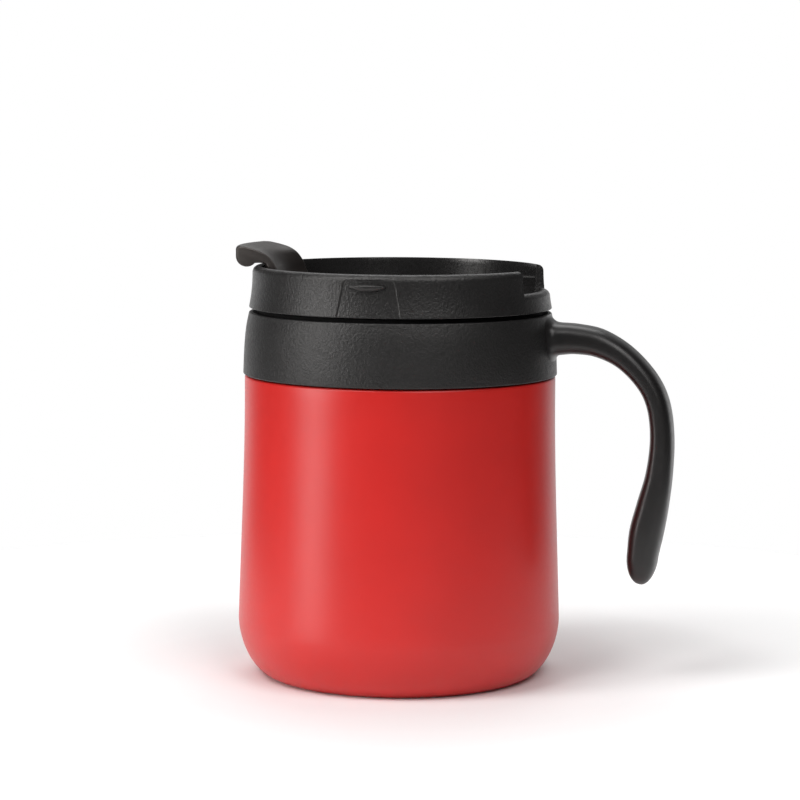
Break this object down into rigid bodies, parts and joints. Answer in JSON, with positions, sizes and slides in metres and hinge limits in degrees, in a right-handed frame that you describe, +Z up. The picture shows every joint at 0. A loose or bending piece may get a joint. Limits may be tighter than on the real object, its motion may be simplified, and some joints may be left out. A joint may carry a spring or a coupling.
{
  "type": "insulated travel mug",
  "caption": "Vacuum-walled steel travel mug with a moulded collar, an open J-shaped side handle and a push-fit drinking lid with a turn-over flap.",
  "frame": {"origin": "middle of the mug's underside, on the cup's axis, on the surface that it stands on", "axes": "+Z up along the cup's axis, +X towards the handle, so the closed flap is at -X, and -Y is the side that faces the viewer"},
  "size_m": [0.117, 0.086, 0.1145],
  "materials": {
    "red_paint": "satin red enamel",
    "brushed_steel": "brushed stainless steel",
    "seal_glass": "opaque sealing glass",
    "copper_foil": "bright copper foil",
    "grained_plastic": "fine-grained black polypropylene",
    "handle_plastic": "smooth satin black polypropylene",
    "inner_plastic": "smooth black polypropylene",
    "silicone": "soft grey silicone"
  },
  "bodies": {
    "mug": {"outer_shell": "red_paint", "outer_base": "brushed_steel", "base_cover": "brushed_steel", "vacuum_seal_bead": "seal_glass", "inner_vessel": "brushed_steel", "reflector_foil": "copper_foil", "getter": "brushed_steel", "collar": "grained_plastic", "collar_seal": "silicone", "handle": "handle_plastic", "handle_screw_front": "brushed_steel", "handle_screw_rear": "brushed_steel"},
    "lid": {"lid_body": "grained_plastic", "lid_underside": "inner_plastic", "lid_gasket": "silicone", "hinge_pin_front": "brushed_steel", "hinge_pin_rear": "brushed_steel"},
    "flap": {"flap": "grained_plastic", "flap_stopper": "silicone", "flap_vent_plug": "silicone"}
  },
  "joints": [
    {"name": "lid_lift", "type": "slide", "parent": "mug", "child": "lid", "axis": [0, 0, 1], "range_m": [0, 0.05]},
    {"name": "flap_hinge", "type": "hinge", "parent": "lid", "child": "flap", "pos_m": [0, 0, 0.1025], "axis": [0, 1, 0], "range_deg": [0, 160]}
  ]
}
